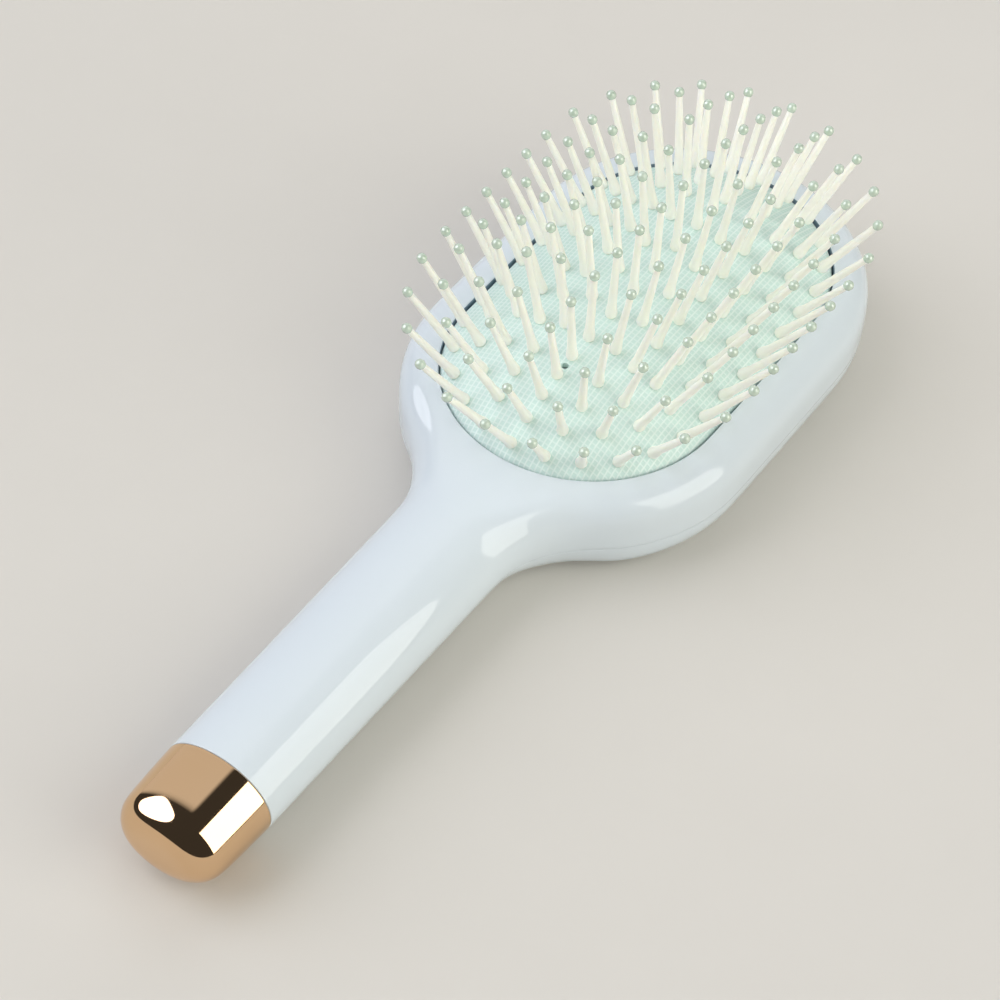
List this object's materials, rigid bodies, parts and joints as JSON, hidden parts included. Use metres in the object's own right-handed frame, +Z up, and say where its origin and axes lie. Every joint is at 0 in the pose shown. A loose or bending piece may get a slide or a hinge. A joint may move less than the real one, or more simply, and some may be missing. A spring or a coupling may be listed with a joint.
{
  "type": "hair brush",
  "caption": "Paddle hair brush with an oval air-cushion head, ball-tipped pins, a round handle and a plated end cap.",
  "frame": {"origin": "under the middle of the whole length, on the plane of the flat back", "axes": "X across the brush, Y from the end cap to the head, Z up from the back to the pins"},
  "size_m": [0.0779, 0.2228, 0.0509],
  "materials": {
    "shell": "glossy white plastic",
    "cap": "mirror plating in a warm rose gold",
    "cushion": "satin rubber with a fine woven grain",
    "pin": "satin cream nylon",
    "bead": "glossy resin bead"
  },
  "bodies": {
    "housing": {"front_shell": "shell", "back_shell": "shell", "handle_end_cap": "cap", "air_cushion": "cushion"},
    "centre_row": {"pins_centre_row": "pin", "tips_centre_row": "bead"},
    "ring_1": {"pins_ring_1_ends": "pin", "tips_ring_1_ends": "bead"},
    "ring_1_left": {"pins_ring_1_left": "pin", "tips_ring_1_left": "bead"},
    "ring_1_right": {"pins_ring_1_right": "pin", "tips_ring_1_right": "bead"},
    "ring_2": {"pins_ring_2_ends": "pin", "tips_ring_2_ends": "bead"},
    "ring_2_left": {"pins_ring_2_left": "pin", "tips_ring_2_left": "bead"},
    "ring_2_right": {"pins_ring_2_right": "pin", "tips_ring_2_right": "bead"},
    "ring_3": {"pins_ring_3_ends": "pin", "tips_ring_3_ends": "bead"},
    "ring_3_left": {"pins_ring_3_left": "pin", "tips_ring_3_left": "bead"},
    "ring_3_right": {"pins_ring_3_right": "pin", "tips_ring_3_right": "bead"},
    "ring_4": {"pins_ring_4_ends": "pin", "tips_ring_4_ends": "bead"},
    "ring_4_left": {"pins_ring_4_left": "pin", "tips_ring_4_left": "bead"},
    "ring_4_right": {"pins_ring_4_right": "pin", "tips_ring_4_right": "bead"},
    "ring_5": {"pins_ring_5_ends": "pin", "tips_ring_5_ends": "bead"},
    "ring_5_left": {"pins_ring_5_left": "pin", "tips_ring_5_left": "bead"},
    "ring_5_right": {"pins_ring_5_right": "pin", "tips_ring_5_right": "bead"}
  },
  "joints": [
    {"name": "cushion_press", "type": "slide", "parent": "housing", "child": "centre_row", "axis": [0, 0, -1], "range_m": [0, 0.0045], "stiffness_N_per_m": 400, "deforming": ["air_cushion"]},
    {"name": "ring_1_press", "type": "slide", "parent": "housing", "child": "ring_1", "axis": [0, 0, -1], "range_m": [0, 0.000929], "stiffness_N_per_m": 400, "deforming": ["air_cushion"]},
    {"name": "ring_1_left_sway", "type": "hinge", "parent": "ring_1", "child": "ring_1_left", "pos_m": [-0.0272, 0.05186, 0.02354], "axis": [0, 1, 0], "range_deg": [-6, 6], "stiffness_Nm_per_rad": 0.01},
    {"name": "ring_1_right_sway", "type": "hinge", "parent": "ring_1", "child": "ring_1_right", "pos_m": [0.0272, 0.05186, 0.02354], "axis": [0, 1, 0], "range_deg": [-6, 6], "stiffness_Nm_per_rad": 0.01},
    {"name": "ring_2_press", "type": "slide", "parent": "housing", "child": "ring_2", "axis": [0, 0, -1], "range_m": [0, 0.00225], "stiffness_N_per_m": 400, "deforming": ["air_cushion"]},
    {"name": "ring_2_left_sway", "type": "hinge", "parent": "ring_2", "child": "ring_2_left", "pos_m": [-0.02193, 0.05186, 0.02645], "axis": [0, 1, 0], "range_deg": [-6, 6], "stiffness_Nm_per_rad": 0.01},
    {"name": "ring_2_right_sway", "type": "hinge", "parent": "ring_2", "child": "ring_2_right", "pos_m": [0.02193, 0.05186, 0.02645], "axis": [0, 1, 0], "range_deg": [-6, 6], "stiffness_Nm_per_rad": 0.01},
    {"name": "ring_3_press", "type": "slide", "parent": "housing", "child": "ring_3", "axis": [0, 0, -1], "range_m": [0, 0.00323], "stiffness_N_per_m": 400, "deforming": ["air_cushion"]},
    {"name": "ring_3_left_sway", "type": "hinge", "parent": "ring_3", "child": "ring_3_left", "pos_m": [-0.01666, 0.05186, 0.0286], "axis": [0, 1, 0], "range_deg": [-6, 6], "stiffness_Nm_per_rad": 0.01},
    {"name": "ring_3_right_sway", "type": "hinge", "parent": "ring_3", "child": "ring_3_right", "pos_m": [0.01666, 0.05186, 0.0286], "axis": [0, 1, 0], "range_deg": [-6, 6], "stiffness_Nm_per_rad": 0.01},
    {"name": "ring_4_press", "type": "slide", "parent": "housing", "child": "ring_4", "axis": [0, 0, -1], "range_m": [0, 0.00392], "stiffness_N_per_m": 400, "deforming": ["air_cushion"]},
    {"name": "ring_4_left_sway", "type": "hinge", "parent": "ring_4", "child": "ring_4_left", "pos_m": [-0.01139, 0.05186, 0.03011], "axis": [0, 1, 0], "range_deg": [-6, 6], "stiffness_Nm_per_rad": 0.01},
    {"name": "ring_4_right_sway", "type": "hinge", "parent": "ring_4", "child": "ring_4_right", "pos_m": [0.01139, 0.05186, 0.03011], "axis": [0, 1, 0], "range_deg": [-6, 6], "stiffness_Nm_per_rad": 0.01},
    {"name": "ring_5_press", "type": "slide", "parent": "housing", "child": "ring_5", "axis": [0, 0, -1], "range_m": [0, 0.00433], "stiffness_N_per_m": 400, "deforming": ["air_cushion"]},
    {"name": "ring_5_left_sway", "type": "hinge", "parent": "ring_5", "child": "ring_5_left", "pos_m": [-0.00612, 0.05186, 0.03103], "axis": [0, 1, 0], "range_deg": [-6, 6], "stiffness_Nm_per_rad": 0.01},
    {"name": "ring_5_right_sway", "type": "hinge", "parent": "ring_5", "child": "ring_5_right", "pos_m": [0.00612, 0.05186, 0.03103], "axis": [0, 1, 0], "range_deg": [-6, 6], "stiffness_Nm_per_rad": 0.01}
  ],
  "couplings": [
    {"joint": "ring_1_press", "follows": "cushion_press", "ratio": 0.2064},
    {"joint": "ring_2_press", "follows": "cushion_press", "ratio": 0.4996},
    {"joint": "ring_3_press", "follows": "cushion_press", "ratio": 0.7175},
    {"joint": "ring_4_press", "follows": "cushion_press", "ratio": 0.8699},
    {"joint": "ring_5_press", "follows": "cushion_press", "ratio": 0.9628}
  ]
}
